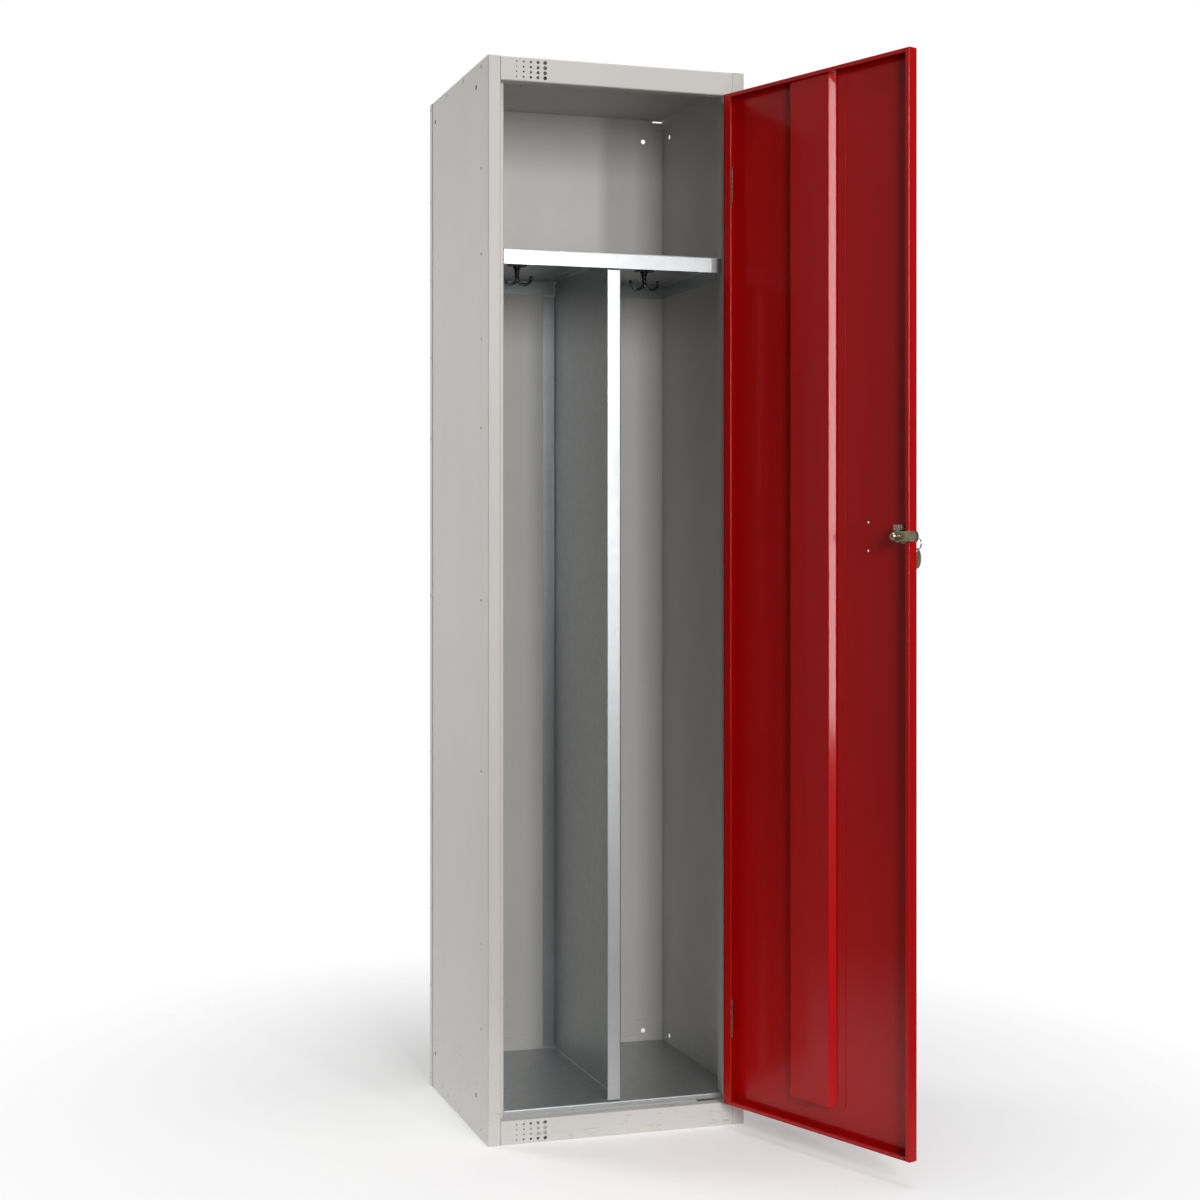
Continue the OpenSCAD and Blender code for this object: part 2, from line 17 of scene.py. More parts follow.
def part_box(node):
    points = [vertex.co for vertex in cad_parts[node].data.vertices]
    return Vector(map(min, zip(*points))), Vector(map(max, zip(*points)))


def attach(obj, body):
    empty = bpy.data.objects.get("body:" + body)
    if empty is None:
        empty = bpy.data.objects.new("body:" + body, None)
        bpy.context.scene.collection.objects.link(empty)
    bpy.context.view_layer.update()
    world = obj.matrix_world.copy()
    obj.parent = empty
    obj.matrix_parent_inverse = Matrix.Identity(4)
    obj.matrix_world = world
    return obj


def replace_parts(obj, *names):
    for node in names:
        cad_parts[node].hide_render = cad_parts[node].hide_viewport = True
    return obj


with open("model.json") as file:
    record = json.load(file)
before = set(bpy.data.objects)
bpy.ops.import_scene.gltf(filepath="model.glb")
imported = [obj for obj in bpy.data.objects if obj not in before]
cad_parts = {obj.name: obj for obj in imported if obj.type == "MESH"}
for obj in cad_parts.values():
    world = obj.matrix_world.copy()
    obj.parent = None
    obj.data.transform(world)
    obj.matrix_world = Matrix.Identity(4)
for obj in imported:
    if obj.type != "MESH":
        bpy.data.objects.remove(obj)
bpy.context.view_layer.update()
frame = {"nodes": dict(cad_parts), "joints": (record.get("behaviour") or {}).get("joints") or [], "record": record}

MM = 0.001
SAME_POINT = 0.001 * MM  # points closer than this are one
SHEET = 1 * MM  # thickness of every steel sheet
NODES = frame["nodes"]
JOINTS = {joint["name"]: joint for joint in frame["joints"]}
BODY_OF = {
    node: body
    for body, members in frame["record"]["behaviour"]["bodies"].items()
    for node in members
}
SLOT_OF = {part["node"]: part["material_slot"] for part in frame["record"]["subparts"]}
COLOUR_OF = {entry["slot"]: entry["base_color"] for entry in frame["record"]["materials"]}

# The camera: where it stands, how far it turns right of +Y, and its lens
CAMERA_AT = (-1.102, -3.283, 0.989)
CAMERA_TURN = math.radians(16.61)
CAMERA_LENS = 58.44  # focal length in millimetres
CAMERA_SHIFT = (0.0704, -0.0444)

BACK_LEFT = (-0.50, 0.86, 0.1)  # where most of the soft light comes from
SEEN_WHITE = 1.0  # strength of the backdrop that the camera sees
FLOOR_FADE = (0.4, 1.3)  # distances between which the floor fades away

EDGE = 0.28 * MM  # rounding of the edges of every part but the folded sheets
FOLDED_SHEETS = (  # their folds are round already, and their cut edges stay crisp
    "left_side_panel", "right_side_panel", "back_panel", "roof_panel", "base_tray",
    "floor_panel", "hat_shelf", "centre_divider",
)
SMOOTH_BELOW = math.radians(38)  # facets that meet at less than this shade as one curve
ROUND_ABOVE = math.radians(40)  # edges sharper than this are rounded


# ---------------------------------------------------------------- camera and studio


def make_camera():
    camera = bpy.data.objects.new("camera", bpy.data.cameras.new("camera"))
    bpy.context.scene.collection.objects.link(camera)
    camera.location = CAMERA_AT
    camera.rotation_euler = (math.pi / 2, 0, -CAMERA_TURN)
    camera.data.lens = CAMERA_LENS
    camera.data.shift_x, camera.data.shift_y = CAMERA_SHIFT
    bpy.context.scene.camera = camera


def softbox(name, at, aim, size, power):
    """An area light of a width and a height that faces a point."""
    light = bpy.data.lights.new(name, "AREA")
    light.shape = "RECTANGLE"
    light.size, light.size_y = size
    light.energy = power
    lamp = bpy.data.objects.new(name, light)
    bpy.context.scene.collection.objects.link(lamp)
    lamp.location = at
    lamp.rotation_euler = (Vector(aim) - Vector(at)).to_track_quat("-Z", "Y").to_euler()


def make_lights():
    softbox("front_light", at=(-0.10, -4.3, 1.8), aim=(0, 0, 0.9), size=(0.9, 1.6), power=82)
    softbox("right_light", at=(0.97, -4.3, 1.5), aim=(0.1, 0, 0.95), size=(0.26, 2.4), power=36)
    softbox("left_light", at=(-2.6, 2.1, 1.4), aim=(-0.2, 0, 0.8), size=(1.2, 1.8), power=48)
    softbox("top_light", at=(0.3, -0.9, 3.7), aim=(0, -0.3, 0), size=(1.6, 1.6), power=30)


def make_world():
    """A white backdrop for the camera. It lights the object softly, mostly from behind left."""
    world = bpy.data.worlds.new("studio")
    world.use_nodes = True
    bpy.context.scene.world = world
    nodes, links = world.node_tree.nodes, world.node_tree.links
    background = nodes["Background"]
    background.inputs["Color"].default_value = (1, 1, 1, 1)
    direction, toward = nodes.new("ShaderNodeTexCoord"), nodes.new("ShaderNodeVectorMath")
    toward.operation = "DOT_PRODUCT"
    toward.inputs[1].default_value = BACK_LEFT
    kinds = ("MapRange", "LightPath", "Mix")
    level, path, pick = (nodes.new("ShaderNode" + kind) for kind in kinds)
    for name, value in {"From Min": 0.70, "From Max": 1.0, "To Min": 0.08, "To Max": 1.1}.items():
        level.inputs[name].default_value = value
    pick.inputs[3].default_value = SEEN_WHITE
    links.new(direction.outputs["Generated"], toward.inputs[0])
    links.new(toward.outputs["Value"], level.inputs["Value"])
    links.new(path.outputs["Is Camera Ray"], pick.inputs[0])
    links.new(level.outputs["Result"], pick.inputs[2])
    links.new(pick.outputs[0], background.inputs["Strength"])


def make_floor():
    """A white floor that fades into the white surroundings away from the object."""
    bpy.ops.mesh.primitive_circle_add(vertices=96, radius=FLOOR_FADE[1], fill_type="NGON")
    floor = bpy.context.object
    floor.name = "studio_floor"
    shader = Shader("studio_floor")
    away = shader.add("VectorMath", {0: shader.place}, operation="LENGTH").outputs["Value"]
    shader.set({"Base Color": (0.9, 0.9, 0.9, 1), "Roughness": 0.9, "Specular IOR Level": 0.1})
    shader.set({"Alpha": shader.ramp(away, FLOOR_FADE, (1.0, 0.0))})
    shader.set({"Emission Color": (1, 1, 1, 1), "Emission Strength": 0.26})
    floor.data.materials.append(shader.material)


# ---------------------------------------------------------------- materials


class Shader:
    """One procedural material, with short calls that add and join its nodes."""

    def __init__(self, name):
        self.material = bpy.data.materials.new(name)
        self.material.use_nodes = True
        self.nodes = self.material.node_tree.nodes
        self.links = self.material.node_tree.links
        self.surface = self.nodes["Principled BSDF"]
        self.place = self.nodes.new("ShaderNodeTexCoord").outputs["Object"]

    def join(self, value, socket):
        """Gives a socket a number or colour, or links it to another node's output."""
        if isinstance(value, bpy.types.NodeSocket):
            self.links.new(value, socket)
        else:
            socket.default_value = value

    def set(self, values):
        for name, value in values.items():
            self.join(value, self.surface.inputs[name])

    def add(self, kind, inputs, **settings):
        node = self.nodes.new("ShaderNode" + kind)
        for name, value in settings.items():
            setattr(node, name, value)
        for name, value in inputs.items():
            self.join(value, node.inputs[name])
        return node

    def stretched(self, stretch):
        return self.add("Mapping", {"Vector": self.place, "Scale": stretch}).outputs["Vector"]

    def noise(self, scale, detail=2.0, stretch=None, warp=0.0):
        place = self.stretched(stretch) if stretch else self.place
        inputs = {"Vector": place, "Scale": scale, "Detail": detail, "Distortion": warp}
        return self.add("TexNoise", inputs).outputs["Fac"]

    def ramp(self, value, span, to=(0.0, 1.0)):
        """Maps span, a pair of input values, onto a pair of outputs."""
        inputs = {"Value": value, "From Min": span[0], "From Max": span[1]}
        inputs.update({"To Min": to[0], "To Max": to[1]})
        return self.add("MapRange", inputs).outputs["Result"]

    def maths(self, operation, a, b):
        return self.add("Math", {0: a, 1: b}, operation=operation).outputs[0]

    def mix(self, factor, a, b):
        return self.add("Mix", {0: factor, 6: a, 7: b}, data_type="RGBA").outputs[2]

    def height(self):
        """How far up the object a point is, in metres."""
        return self.add("SeparateXYZ", {"Vector": self.place}).outputs["Z"]

    def bump(self, height, distance, strength=1.0, after=None):
        inputs = {"Height": height, "Distance": distance, "Strength": strength}
        if after:
            inputs["Normal"] = after
        return self.add("Bump", inputs).outputs["Normal"]


def shade(colour, factor):
    return (*(min(1.0, channel * factor) for channel in colour[:3]), 1)


def powder_coat(name, colour, gloss, peel_depth, rub):
    """Sprayed and baked paint: orange peel, faint clouds, dust and rub marks low down."""
    s = Shader(name)
    cloud = s.ramp(s.noise(2.4, 3), (0.3, 0.7))
    grain = s.ramp(s.noise(1900, 2), (0.3, 0.7))
    tone = s.mix(cloud, shade(colour, 0.955), shade(colour, 1.045))
    tone = s.mix(s.maths("MULTIPLY", grain, 0.10), tone, shade(colour, 0.80))
    scuff = s.ramp(s.noise(26, 6, stretch=(1, 1, 7), warp=0.6), (0.60, 0.68))
    low = s.ramp(s.height(), (0.02, 0.16), (0.55, 0.0))
    mark = s.maths("MULTIPLY", scuff, low)
    tone = s.mix(mark, tone, rub)
    streak = s.ramp(s.noise(14, 5, stretch=(1, 1, 0.12)), (0.35, 0.75), (-0.035, 0.05))
    rough = s.maths("ADD", s.ramp(grain, (0, 1), (gloss, gloss + 0.08)), streak)
    rough = s.maths("ADD", rough, s.maths("MULTIPLY", mark, 0.2))
    peel = s.bump(s.noise(620, 2), peel_depth, 0.5)
    waves = s.bump(s.noise(7, 2, stretch=(1, 1, 0.25)), 0.5 * MM, 0.35, after=peel)
    s.set({"Base Color": tone, "Roughness": rough, "Normal": waves, "IOR": 1.5})
    return s


def light_grey_powder_coat(colour):
    return powder_coat("light_grey_powder_coat", colour, 0.40, 0.05 * MM, (0.36, 0.35, 0.33, 1))


def red_powder_coat(colour):
    s = powder_coat("red_powder_coat", colour, 0.30, 0.07 * MM, (0.22, 0.02, 0.015, 1))
    s.set({"Specular IOR Level": 0.12, "Coat Weight": 0.4, "Coat Roughness": 0.10})
    return s


def galvanised(colour):
    """Zinc-dipped sheet: crystal spangle, soft rolling streaks and a dull bloom."""
    s = Shader("galvanised")
    cells = {"Vector": s.place, "Scale": 95.0, "Randomness": 1.0}
    crystal = s.add("TexVoronoi", cells, feature="F1").outputs["Color"]
    crystal = s.add("SeparateColor", {"Color": crystal}).outputs["Red"]
    bloom = s.ramp(s.noise(5, 5, warp=0.8), (0.35, 0.7))
    streak = s.ramp(s.noise(30, 4, stretch=(1, 1, 0.05)), (0.3, 0.7))
    tone = s.mix(s.maths("MULTIPLY", crystal, 0.3), shade(colour, 0.76), shade(colour, 0.64))
    tone = s.mix(s.maths("MULTIPLY", bloom, 0.20), tone, shade(colour, 0.54))
    tone = s.mix(s.maths("MULTIPLY", streak, 0.15), tone, shade(colour, 0.9))
    rough = s.ramp(crystal, (0, 1), (0.35, 0.40))
    rough = s.maths("ADD", rough, s.ramp(streak, (0, 1), (-0.03, 0.07)))
    ripple = s.bump(s.noise(6, 0, stretch=(1, 1, 0.2)), 0.15 * MM, 0.2)
    drawn = s.bump(s.noise(420, 1, stretch=(1, 1, 0.02)), 0.006 * MM, 0.2, after=ripple)
    s.set({"Base Color": tone, "Roughness": rough, "Normal": drawn, "Metallic": 0.92})
    return s


def plain_steel(colour):
    """Bare mild steel with a little brown tarnish."""
    s = Shader("plain_steel")
    tarnish = s.ramp(s.noise(160, 5, warp=0.5), (0.42, 0.66))
    tone = s.mix(tarnish, shade(colour, 1.25), (0.20, 0.125, 0.075, 1))
    rough = s.ramp(tarnish, (0, 1), (0.34, 0.58))
    grain = s.bump(s.noise(900, 3, stretch=(1, 1, 0.08)), 0.03 * MM, 0.5)
    s.set({"Base Color": tone, "Roughness": rough, "Normal": grain, "Metallic": 0.85})
    return s


def black_enamel(colour):
    """Thick dipped enamel over a casting."""
    s = Shader("black_enamel")
    dust = s.ramp(s.noise(240, 4), (0.5, 0.75))
    tone = s.mix(s.maths("MULTIPLY", dust, 0.25), shade(colour, 0.8), (0.06, 0.058, 0.055, 1))
    rough = s.ramp(dust, (0, 1), (0.22, 0.40))
    skin = s.bump(s.noise(320, 2), 0.12 * MM, 0.5)
    s.set({"Base Color": tone, "Roughness": rough, "Normal": skin})
    s.set({"Coat Weight": 0.3, "Coat Roughness": 0.12})
    return s


def zinc_passivated(colour):
    """Yellow-olive chromate over zinc, with its drifting green and pink tints."""
    s = Shader("zinc_passivated")
    drift = s.noise(120, 3, warp=1.2)
    tone = s.mix(s.ramp(drift, (0.30, 0.52)), (0.36, 0.40, 0.24, 1), shade(colour, 1.1))
    tone = s.mix(s.ramp(drift, (0.54, 0.70)), tone, (0.55, 0.40, 0.30, 1))
    rough = s.ramp(s.noise(700, 3), (0.3, 0.7), (0.22, 0.38))
    grain = s.bump(s.noise(1400, 2), 0.02 * MM, 0.5)
    s.set({"Base Color": tone, "Roughness": rough, "Normal": grain, "Metallic": 0.95})
    return s


def nickel(colour):
    """Nickel plate with fine handling scratches."""
    s = Shader("nickel")
    scratch = s.ramp(s.noise(500, 4, stretch=(1, 0.15, 1)), (0.52, 0.62))
    haze = s.ramp(s.noise(60, 3), (0.3, 0.7))
    tone = s.mix(haze, shade(colour, 0.92), shade(colour, 1.12))
    rough = s.maths("ADD", s.ramp(haze, (0, 1), (0.16, 0.26)), s.maths("MULTIPLY", scratch, 0.15))
    cut = s.bump(scratch, -0.01 * MM, 0.5)
    s.set({"Base Color": tone, "Roughness": rough, "Normal": cut, "Metallic": 1.0})
    return s


def tag(colour):
    """Stamped tag, dull and slightly uneven."""
    s = Shader("tag")
    cloud = s.ramp(s.noise(220, 4), (0.35, 0.65))
    tone = s.mix(cloud, shade(colour, 0.8), shade(colour, 1.25))
    rough = s.ramp(cloud, (0, 1), (0.38, 0.55))
    skin = s.bump(s.noise(800, 3), 0.03 * MM, 0.6)
    s.set({"Base Color": tone, "Roughness": rough, "Normal": skin, "Metallic": 0.6})
    return s


MAKERS = (light_grey_powder_coat, galvanised, red_powder_coat, plain_steel, black_enamel,
          zinc_passivated, nickel, tag)
FINISH = {make.__name__: make(COLOUR_OF[make.__name__]).material for make in MAKERS}


# ---------------------------------------------------------------- CAD nodes


def smooth_curves_group():
    """Geometry nodes that shade facets of one curve smooth and keep real edges sharp."""
    tree = bpy.data.node_groups.new("smooth_curves", "GeometryNodeTree")
    tree.interface.new_socket("Geometry", in_out="INPUT", socket_type="NodeSocketGeometry")
    tree.interface.new_socket("Geometry", in_out="OUTPUT", socket_type="NodeSocketGeometry")
    new, link = tree.nodes.new, tree.links.new
    source, result = new("NodeGroupInput"), new("NodeGroupOutput")
    clear = new("GeometryNodeRemoveAttribute")
    clear.inputs["Name"].default_value = "custom_normal"
    faces, edges = new("GeometryNodeSetShadeSmooth"), new("GeometryNodeSetShadeSmooth")
    faces.domain, edges.domain = "FACE", "EDGE"
    edges.inputs["Shade Smooth"].default_value = False
    angle, sharp = new("GeometryNodeInputMeshEdgeAngle"), new("FunctionNodeCompare")
    sharp.operation = "GREATER_THAN"
    sharp.inputs[1].default_value = SMOOTH_BELOW
    link(source.outputs[0], clear.inputs["Geometry"])
    link(clear.outputs["Geometry"], faces.inputs["Geometry"])
    link(faces.outputs["Geometry"], edges.inputs["Geometry"])
    link(angle.outputs["Unsigned Angle"], sharp.inputs[0])
    link(sharp.outputs["Result"], edges.inputs["Selection"])
    link(edges.outputs["Geometry"], result.inputs[0])
    return tree


SMOOTH_CURVES = smooth_curves_group()


def join_facets(piece):
    """Joins the facets of an imported mesh, so that its edges can be rounded and shaded."""
    weld = piece.modifiers.new("weld", "WELD")
    weld.merge_threshold = SAME_POINT


def round_edges(piece):
    bevel = piece.modifiers.new("edges", "BEVEL")
    bevel.width = EDGE
    bevel.segments = 2
    bevel.limit_method = "ANGLE"
    bevel.angle_limit = ROUND_ABOVE
    bevel.use_clamp_overlap = False


def smooth_curves(piece):
    """Shades folds and bores as curves, and leaves flat faces flat."""
    smooth = piece.modifiers.new("smooth", "NODES")
    smooth.node_group = SMOOTH_CURVES
    normals = piece.modifiers.new("normals", "WEIGHTED_NORMAL")
    normals.keep_sharp = True
    normals.weight = 100


def finish_node(name):
    node = NODES[name]
    node.data.materials.clear()
    node.data.materials.append(FINISH[SLOT_OF[name]])
    join_facets(node)
    if name not in FOLDED_SHEETS:
        round_edges(node)
    smooth_curves(node)


# ---------------------------------------------------------------- mesh tools


def mesh_piece(bm, name, slot, body):
    """Turns a bmesh in the shared frame into a finished piece that rides on a body."""
    bmesh.ops.recalc_face_normals(bm, faces=bm.faces)
    mesh = bpy.data.meshes.new(name)
    bm.to_mesh(mesh)
    bm.free()
    mesh.shade_smooth()
    mesh.set_sharp_from_angle(angle=SMOOTH_BELOW)
    return ready(bpy.data.objects.new(name, mesh), slot, body)


def ready(piece, slot, body):
    """Links a piece, gives it a slot's finish and lets it ride on a body."""
    bpy.context.scene.collection.objects.link(piece)
    piece.data.materials.append(FINISH[slot])
    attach(piece, body)
    return piece


def revolve(bm, profile, place, sides=24):
    """Turns (radius, height) pairs about Z. A radius of 0 closes an end."""
    rings = []
    for radius, height in profile:
        count = sides if radius else 1
        turns = [2 * math.pi * i / sides for i in range(count)]
        ring = [Vector((radius * math.cos(a), radius * math.sin(a), height)) for a in turns]
        rings.append([bm.verts.new(place @ point) for point in ring])
    for low, high in zip(rings, rings[1:]):
        for i in range(sides):
            j = (i + 1) % sides
            bottom = [low[i % len(low)], low[j % len(low)]]
            top = [high[j % len(high)], high[i % len(high)]]
            bm.faces.new(list(dict.fromkeys(bottom + top)))


def tube(bm, path, radii, sides=20):
    """A closed round bar along a path of points, with a radius at each."""
    rings = []
    for i, (point, radius) in enumerate(zip(path, radii)):
        heading = path[min(i + 1, len(path) - 1)] - path[max(i - 1, 0)]
        turn = heading.to_track_quat("Z", "Y")
        angles = [2 * math.pi * k / sides for k in range(sides)]
        ring = [turn @ Vector((radius * math.cos(a), radius * math.sin(a), 0)) for a in angles]
        rings.append([bm.verts.new(point + offset) for offset in ring])
    for low, high in zip(rings, rings[1:]):
        for k in range(sides):
            j = (k + 1) % sides
            bm.faces.new((low[k], low[j], high[j], high[k]))
    bm.faces.new(rings[0])
    bm.faces.new(rings[-1])


def ball(bm, centre, radius):
    place = Matrix.Translation(centre)
    bmesh.ops.create_uvsphere(bm, u_segments=24, v_segments=16, radius=radius, matrix=place)


def block(bm, lo, hi, rounding):
    """A box between two corners with every edge rounded."""
    size = hi - lo
    place = Matrix.Translation((lo + hi) / 2) @ Matrix.Diagonal((*size, 1))
    verts = bmesh.ops.create_cube(bm, size=1, matrix=place)["verts"]
    edges = list({edge for vert in verts for edge in vert.link_edges})
    bmesh.ops.bevel(bm, geom=edges, offset=rounding, segments=3, profile=0.5, affect="EDGES")


LEVEL_WITH = 0.05 * MM  # points within this of an end of a head belong to that end


def solids_of(node):
    """The separate solids of a CAD node, each as the list of its points."""
    bm = bmesh.new()
    bm.from_mesh(NODES[node].data)
    bmesh.ops.remove_doubles(bm, verts=bm.verts, dist=SAME_POINT)
    bm.verts.index_update()
    found, seen = [], set()
    for start in bm.verts:
        if start.index in seen:
            continue
        seen.add(start.index)
        waiting, points = [start], []
        while waiting:
            vert = waiting.pop()
            points.append(vert.co.copy())
            for edge in vert.link_edges:
                other = edge.other_vert(vert)
                if other.index not in seen:
                    seen.add(other.index)
                    waiting.append(other)
        found.append(points)
    bm.free()
    return found


def head_on_face(points):
    """A round head's place, with Z out of the face that it stands on, its radius and height.

    The head is widest where it stands, so the wider of its two flat ends is its base.
    """
    lo, hi = (Vector(map(pick, zip(*points))) for pick in (min, max))
    size, centre = hi - lo, (lo + hi) / 2
    thin = min(range(3), key=lambda i: size[i])

    def reach(level):
        near = [p for p in points if abs(p[thin] - level) < LEVEL_WITH]
        return max((p - centre).length for p in near)

    stands_low = reach(lo[thin]) > reach(hi[thin])
    base, out = centre.copy(), Vector((0, 0, 0))
    base[thin] = lo[thin] if stands_low else hi[thin]
    out[thin] = 1 if stands_low else -1
    turn = out.to_track_quat("Z", "Y").to_matrix().to_4x4()
    return Matrix.Translation(base) @ turn, size[(thin + 1) % 3] / 2, size[thin]


# ---------------------------------------------------------------- fasteners

# Profiles as (share of the radius, share of the height)
BLIND_RIVET = [(0, 0), (1, 0), (1, 0.14), (0.94, 0.48), (0.80, 0.78), (0.60, 0.95), (0.44, 1),
               (0.38, 0.92), (0.36, 0.60), (0.28, 0.58), (0.26, 0.82), (0.12, 0.88), (0, 0.88)]
PAN_HEAD = [(0, 0), (0.5, 0), (1, 0.06), (1, 0.30), (0.93, 0.62), (0.72, 0.90), (0.45, 1), (0, 1)]


def scaled(profile, radius, height):
    return [(r * radius, h * height) for r, h in profile]


def remake_rivets(node):
    """Blind rivets, domed with a sunken mandrel, where the CAD node has its plain heads."""
    bm = bmesh.new()
    for points in solids_of(node):
        place, radius, height = head_on_face(points)
        revolve(bm, scaled(BLIND_RIVET, radius, height), place)
    piece = mesh_piece(bm, node + "_domed", SLOT_OF[node], BODY_OF[node])
    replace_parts(piece, node)


CROSS = (0.55, 0.11)  # half the length and width of a recess's arms, as shares of the radius


def cross_cutter(place, radius, height):
    """A cross recess as two thin blocks, ready to be cut from a head."""
    bm = bmesh.new()
    for along, across in (CROSS, CROSS[::-1]):
        size = Matrix.Diagonal((2 * along * radius, 2 * across * radius, height, 1))
        bmesh.ops.create_cube(bm, size=1, matrix=place @ Matrix.Translation((0, 0, height)) @ size)
    mesh = bpy.data.meshes.new("cutter")
    bm.to_mesh(mesh)
    bm.free()
    cutter = bpy.data.objects.new("cutter", mesh)
    bpy.context.scene.collection.objects.link(cutter)
    return cutter


def carve(piece, cutter):
    """Cuts one object out of another for good."""
    cut = piece.modifiers.new("cut", "BOOLEAN")
    cut.object, cut.solver = cutter, "EXACT"
    cut.use_self = True
    bake(piece)
    bpy.data.objects.remove(cutter)


def bake(piece):
    """Replaces a piece's mesh by what its modifiers make of it."""
    bpy.context.view_layer.update()
    graph = bpy.context.evaluated_depsgraph_get()
    made = bpy.data.meshes.new_from_object(piece.evaluated_get(graph))
    piece.modifiers.clear()
    piece.data = made
    made.shade_smooth()
    made.set_sharp_from_angle(angle=SMOOTH_BELOW)


def remake_screws(node):
    """Pan-head screws with a cross recess, where the CAD node has its plain heads."""
    for index, points in enumerate(solids_of(node)):
        place, radius, height = head_on_face(points)
        bm = bmesh.new()
        revolve(bm, scaled(PAN_HEAD, radius, height), place, sides=32)
        name = f"{node}_{index + 1}"
        piece = mesh_piece(bm, name, SLOT_OF[node], BODY_OF[node])
        carve(piece, cross_cutter(place, radius, height))
        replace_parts(piece, node)


# ---------------------------------------------------------------- coat hooks


PRONG_R = 2.6 * MM
PRONG_STEPS = 24
TIP_R = PRONG_R + 0.5 * MM  # radius of the ball on a prong
TIP_RISE = Vector((0, 0, 1 * MM))  # how far the ball stands over the prong's end
PLATE_HALF = Vector((17 * MM, 9 * MM, 0))  # half of the fixing plate's width and depth
PLATE_DOWN = Vector((0, 0, 3 * MM))  # the fixing plate's thickness
PLATE_EDGE = 1.2 * MM
CASTING_VOXEL = 0.55 * MM

# The stem as (radius, height). Radii are shares of the prong's radius. Heights are shares of
# that radius below the prongs' bend, and of the whole drop to the plate above it
STEM_FOOT = [(0, -0.9), (1.2, -0.6), (1.55, 0)]
STEM_FLARE = [(1.62, 0.35), (1.8, 0.5), (2.2, 0.65), (2.9, 0.77), (3.2, 0.88), (3.2, 0.95),
              (0, 0.95)]


def prong(bm, centre, bend, side):
    """One prong: a half circle of tapering rod with a ball at its end."""
    x, y, z = centre
    path, radii = [], []
    for i in range(PRONG_STEPS + 1):
        turn = math.pi * (1 + i / PRONG_STEPS)
        across = side * (bend + bend * math.cos(turn))
        path.append(Vector((x + across, y, z + bend * math.sin(turn))))
        radii.append(PRONG_R * (1.15 - 0.2 * i / PRONG_STEPS))
    tube(bm, path, radii)
    ball(bm, path[-1] + TIP_RISE, TIP_R)


def fuse(piece):
    """Melts a piece's overlapping solids into one soft-edged casting."""
    remesh = piece.modifiers.new("fuse", "REMESH")
    remesh.mode, remesh.voxel_size = "VOXEL", CASTING_VOXEL
    smooth = piece.modifiers.new("soften", "SMOOTH")
    smooth.factor, smooth.iterations = 0.5, 6
    bake(piece)


def cast_hook(node):
    """A double-prong hook as one smooth casting under its fixing plate."""
    lo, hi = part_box(node)
    middle = (lo + hi) / 2
    bend = (hi.x - lo.x - 2 * TIP_R) / 4  # radius of a prong's bend
    bend_z = lo.z + bend + PRONG_R
    foot = Vector((middle.x, middle.y, hi.z))
    centre = (middle.x, middle.y, bend_z)  # between the prongs, level with their ends
    bm = bmesh.new()
    block(bm, foot - PLATE_HALF - PLATE_DOWN, foot + PLATE_HALF, PLATE_EDGE)
    stem = scaled(STEM_FOOT, PRONG_R, PRONG_R) + scaled(STEM_FLARE, PRONG_R, hi.z - bend_z)
    revolve(bm, stem, Matrix.Translation(centre))
    for side in (-1, 1):
        prong(bm, centre, bend, side)
    piece = mesh_piece(bm, node + "_cast", SLOT_OF[node], BODY_OF[node])
    fuse(piece)
    piece.data.materials.clear()
    piece.data.materials.append(FINISH[SLOT_OF[node]])
    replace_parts(piece, node)


# ---------------------------------------------------------------- key, ring and tag

UP = Vector((0, 0, 1))
LOCK_OUT = Vector(JOINTS["lock_turn"]["axis"])  # out of the door's face
LOCK_AT = Vector(JOINTS["lock_turn"]["pos_m"])


def basis(x, y, at):
    """A placing matrix from two of its axes and its origin."""
    return Matrix.Translation(at) @ Matrix((x, y, x.cross(y))).transposed().to_4x4()


def circle(centre, radius, count=40, squash=1.0):
    """A circle's points, or an upright oval's, squash times as wide as it is high."""
    x, y = centre
    turns = [2 * math.pi * i / count for i in range(count)]
    return [(x + squash * radius * math.cos(a), y + radius * math.sin(a)) for a in turns]


def plate(name, outlines, thickness, rounding, place, node):
    """A flat plate. Its closed outlines, thickness and rounding are in millimetres."""
    curve = bpy.data.curves.new(name, "CURVE")
    curve.dimensions, curve.fill_mode = "2D", "BOTH"
    for outline in outlines:
        spline = curve.splines.new("POLY")
        spline.points.add(len(outline) - 1)
        for point, (x, y) in zip(spline.points, outline):
            point.co = (x * MM, y * MM, 0, 1)
        spline.use_cyclic_u = True
    curve.extrude = (thickness / 2 - rounding) * MM
    curve.bevel_depth, curve.bevel_resolution = rounding * MM, 3
    curve.offset = -rounding * MM
    flat = bpy.data.objects.new(name, curve)
    flat.matrix_world = place
    return solid_from(flat, name, node)


def solid_from(curve_object, name, node):
    """Makes a mesh piece, in the shared frame, of a curve object."""
    bpy.context.scene.collection.objects.link(curve_object)
    bpy.context.view_layer.update()
    graph = bpy.context.evaluated_depsgraph_get()
    mesh = bpy.data.meshes.new_from_object(curve_object.evaluated_get(graph))
    bm = bmesh.new()
    bm.from_mesh(mesh)
    bmesh.ops.remove_doubles(bm, verts=bm.verts, dist=SAME_POINT)
    bm.transform(curve_object.matrix_world)
    bpy.data.objects.remove(curve_object)
    return mesh_piece(bm, name, SLOT_OF[node], BODY_OF[node])


# The key's blade, in millimetres
SHOULDER = 0.6  # how far the stop shoulder stands proud of the blade
NECK = 3.5  # bow to shoulder
CUT_DEPTHS = (1.1, 2.0, 0.7, 1.6)
CUT_START = 3.0  # shoulder to the first cut
CUT_PITCH = 3.4
CUT_SLOPE = 0.6  # run of a cut's flank, as a share of its depth
CUT_FLOOR = 0.9  # length of a cut's flat floor


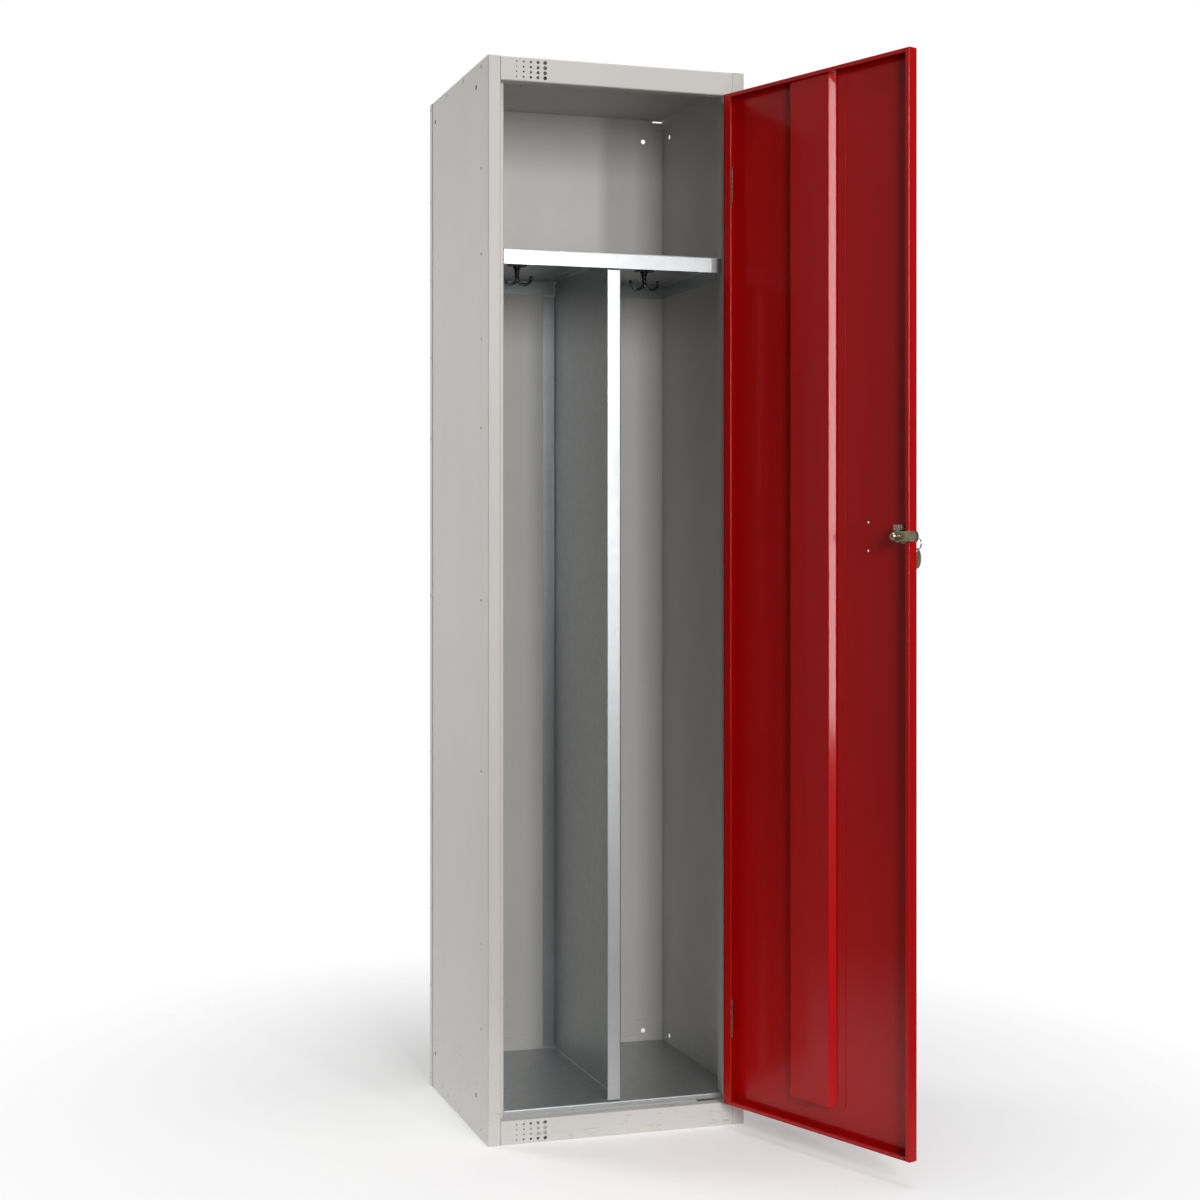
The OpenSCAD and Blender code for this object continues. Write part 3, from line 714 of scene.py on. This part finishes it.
def key_outline(bow_at, bow_r, tip_at, half):
    """Round bow, stop shoulder, and a blade with a row of cuts along its lower edge."""
    joint = math.asin((half + SHOULDER) / bow_r)
    sweep = [math.pi - joint - 2 * (math.pi - joint) * i / 40 for i in range(41)]
    points = [(bow_at + bow_r * math.cos(a), bow_r * math.sin(a)) for a in sweep]
    stop = bow_at - bow_r - NECK
    points += [(stop, -half - SHOULDER), (stop, -half)]
    for index, depth in enumerate(CUT_DEPTHS):
        start = stop - CUT_START - CUT_PITCH * index
        flank = start - depth * CUT_SLOPE
        points += [(start, -half), (flank, -half + depth), (flank - CUT_FLOOR, -half + depth)]
        points += [(start - 2 * CUT_SLOPE * depth - CUT_FLOOR, -half)]
    points += [(tip_at + 1.6, -half), (tip_at, -half + 2.4)]
    points += [(tip_at, half - 1.2), (tip_at + 1.2, half)]
    points += [(stop, half), (stop, half + SHOULDER)]
    return points


def make_key():
    place = basis(LOCK_OUT, UP, LOCK_AT)
    outline = key_outline(bow_at=18, bow_r=10, tip_at=-16, half=3.8)
    hole = circle((24, -1.5), 2.8)
    key = plate("key_cut", [outline, hole], 2.0, 0.22, place, "key")
    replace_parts(key, "key")


COIL_GAP = 2.05  # distance between the ring's turns, as a share of the wire's radius


def make_ring(ring_at, ring_r, wire_r):
    """A split ring: two turns of spring wire side by side. Its radii are in millimetres."""
    curve = bpy.data.curves.new("key_ring_split", "CURVE")
    curve.dimensions, curve.bevel_depth, curve.bevel_resolution = "3D", wire_r * MM, 4
    curve.use_fill_caps = True
    spline = curve.splines.new("POLY")
    steps, turns = 120, 1.94
    spline.points.add(steps)
    for i, point in enumerate(spline.points):
        turn = 2 * math.pi * turns * i / steps
        step = wire_r * COIL_GAP * (i / steps - 0.5) * turns
        point.co = (ring_r * math.cos(turn) * MM, ring_r * math.sin(turn) * MM, step * MM, 1)
    ring = bpy.data.objects.new("key_ring_split", curve)
    ring.matrix_world = basis(UP, LOCK_OUT.cross(UP), LOCK_AT + ring_at)
    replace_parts(solid_from(ring, "key_ring_split", "key_ring"), "key_ring")


# The tag, in millimetres
EYE_R = 2.2
BORDER_WIRE = 0.4  # radius of the raised border
BORDER_INSET = 1.5  # edge to border
BORDER_UP = 0.75  # middle of the tag to the border's own middle
BORDER_SLIMMER = 0.035  # the border is this much slimmer than the tag's own shape


def tag_border(place, half_height, slim, side):
    """A raised oval line on one face of the tag."""
    curve = bpy.data.curves.new("border", "CURVE")
    curve.dimensions, curve.bevel_depth, curve.bevel_resolution = "3D", BORDER_WIRE * MM, 3
    spline = curve.splines.new("POLY")
    border = circle((0, 0), half_height - BORDER_INSET, 64, slim - BORDER_SLIMMER)
    spline.points.add(len(border) - 1)
    for point, (x, y) in zip(spline.points, border):
        point.co = (x * MM, y * MM, side * BORDER_UP * MM, 1)
    spline.use_cyclic_u = True
    rim = bpy.data.objects.new("border", curve)
    rim.matrix_world = place
    solid_from(rim, f"key_tag_border_{'near' if side < 0 else 'far'}", "key_tag")


def make_tag(tag_at, half_height, slim, eye_up):
    """A blank oval tag with an eye for the ring and a raised border on both faces."""
    place = basis(LOCK_OUT, UP, LOCK_AT + tag_at)
    outlines = [circle((0, 0), half_height, 64, slim), circle((0, eye_up), EYE_R, 32)]
    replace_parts(plate("key_tag_blank", outlines, 1.7, 0.35, place, "key_tag"), "key_tag")
    for side in (-1, 1):
        tag_border(place, half_height, slim, side)


# ---------------------------------------------------------------- door details


def closed_door():
    """Turns the drawn door shut about its hinge. Its inverse opens it again."""
    hinge = JOINTS["door_hinge"]
    at = Matrix.Translation(hinge["pos_m"])
    return at @ Matrix.Rotation(math.radians(hinge["range_deg"][0]), 4, "Z") @ at.inverted()


def box_when_shut(node):
    """Lowest and highest corner of a door part with the door shut."""
    shut = closed_door()
    points = [shut @ vert.co for vert in NODES[node].data.vertices]
    return tuple(Vector(map(pick, zip(*points))) for pick in (min, max))


# A spot weld as (share of the radius, share of the height)
WELD_RING = [(1, 0), (0.92, 0.75), (0.76, 1), (0.60, 0.7), (0.50, 0.25), (0, 0.2)]
WELD_HEIGHT = 0.22 * MM
WELD_SINK = 0.02 * MM  # how deep a weld's rim lies in the sheet


def spot_welds(inset, pitch, radius):
    """Rows of shallow weld rings down both feet of the door's stiffener."""
    lo, hi = box_when_shut("door_stiffener")
    face = box_when_shut("door_panel")[0].y + 2 * SHEET  # inner face of the stiffener's feet
    profile = scaled(WELD_RING, radius, WELD_HEIGHT)
    open_up = closed_door().inverted()
    inwards = Matrix.Rotation(-math.pi / 2, 4, "X")
    bm = bmesh.new()
    count = int((hi.z - lo.z - 2 * inset) / pitch)
    for x in (lo.x + inset, hi.x - inset):
        for i in range(count + 1):
            z = lo.z + inset + (hi.z - lo.z - 2 * inset) * i / count
            place = Matrix.Translation((x, face - WELD_SINK, z)) @ inwards
            revolve(bm, profile, open_up @ place, sides=20)
    mesh_piece(bm, "stiffener_spot_welds", "red_powder_coat", "door")


# ---------------------------------------------------------------- run

make_camera()
make_world()
make_lights()
make_floor()

for name in NODES:
    finish_node(name)

for name in NODES:
    if name.endswith("_rivets") or name == "divider_fixings":
        remake_rivets(name)
remake_screws("hook_screws")
for name in ("coat_hook_left", "coat_hook_right"):
    cast_hook(name)
spot_welds(inset=9.5 * MM, pitch=118 * MM, radius=3.2 * MM)

ring_at = LOCK_OUT * 24 * MM - UP * 11 * MM  # from the lock's middle
make_key()
make_ring(ring_at, ring_r=9.5, wire_r=0.6)
make_tag(ring_at - UP * 23.2 * MM, half_height=16, slim=0.62, eye_up=12.2)

bpy.context.scene.view_settings.view_transform = "Standard"
